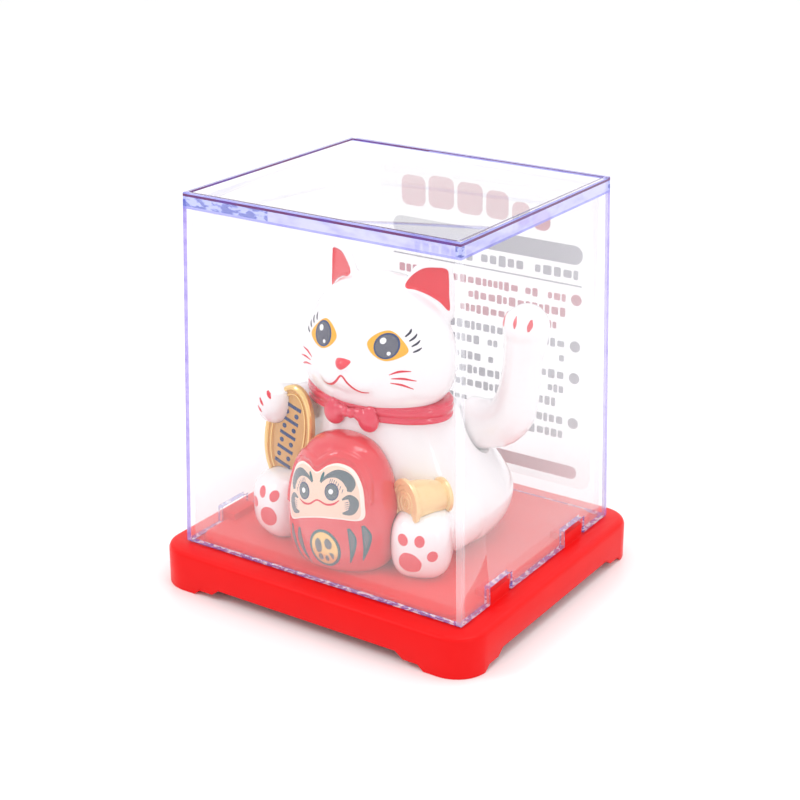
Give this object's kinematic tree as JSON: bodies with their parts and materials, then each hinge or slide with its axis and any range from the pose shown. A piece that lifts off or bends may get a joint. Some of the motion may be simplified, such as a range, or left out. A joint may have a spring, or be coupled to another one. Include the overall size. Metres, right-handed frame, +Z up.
{
  "type": "boxed beckoning cat figurine",
  "caption": "Solar powered beckoning cat with a waving arm, coin, mallet and round doll, standing on a red tray under a clear lift-off cover.",
  "frame": {"origin": "centre of the tray's underside, on the surface that the corner feet stand on", "axes": "+Z up; the cat looks along -Y; its raised waving arm is on +X"},
  "size_m": [0.093, 0.084, 0.1018],
  "materials": {
    "tray_red": "moulded saturated red, satin gloss",
    "cover_clear": "clear polished polystyrene with violet edges",
    "label_film": "pale printed film, grey and pink bars",
    "figure_white": "glossy white lacquered plastic with painted details",
    "collar_red": "high gloss crimson lacquer",
    "doll_coral": "glossy coral red lacquer with painted face",
    "gold_paint": "pale metallic gold paint",
    "steel": "bright zinc plated",
    "nylon_grey": "natural moulded nylon",
    "cast_weight": "plain cast weight",
    "magnet_nickel": "nickel plated",
    "board_green": "green solder mask",
    "copper": "enamelled copper wire",
    "black_plastic": "black moulded plastic",
    "cell_glass": "dark blue-violet solar cell under clear resin",
    "lead_red": "red insulated lead"
  },
  "bodies": {
    "figure": {"base_tray": "tray_red", "body_front_shell": "figure_white", "body_rear_shell": "figure_white", "head_front_shell": "figure_white", "head_rear_shell": "figure_white", "collar_bow": "collar_red", "daruma": "doll_coral", "koban": "gold_paint", "mallet": "gold_paint", "sole_plate": "figure_white", "mechanism_frame": "nylon_grey", "circuit_board": "board_green", "coil_bobbin": "nylon_grey", "coil_winding": "copper", "capacitor": "black_plastic", "drive_chip": "black_plastic", "solar_cell": "cell_glass", "cell_lead_red": "lead_red", "cell_lead_black": "black_plastic", "base_screw_1": "steel", "base_screw_2": "steel", "frame_screw_1": "steel", "frame_screw_2": "steel"},
    "cover": {"clear_cover": "cover_clear", "info_label": "label_film"},
    "arm": {"waving_arm": "figure_white", "arm_axle": "steel", "rocker": "nylon_grey", "rocker_weight": "cast_weight", "rocker_magnet": "magnet_nickel", "axle_retainer": "steel"}
  },
  "joints": [
    {"name": "arm_wave", "type": "hinge", "parent": "figure", "child": "arm", "pos_m": [0, 0.008, 0.0415], "axis": [1, 0, 0], "range_deg": [-18, 18]},
    {"name": "cover_lift", "type": "slide", "parent": "figure", "child": "cover", "axis": [0, 0, 1], "range_m": [0, 0.105]}
  ]
}
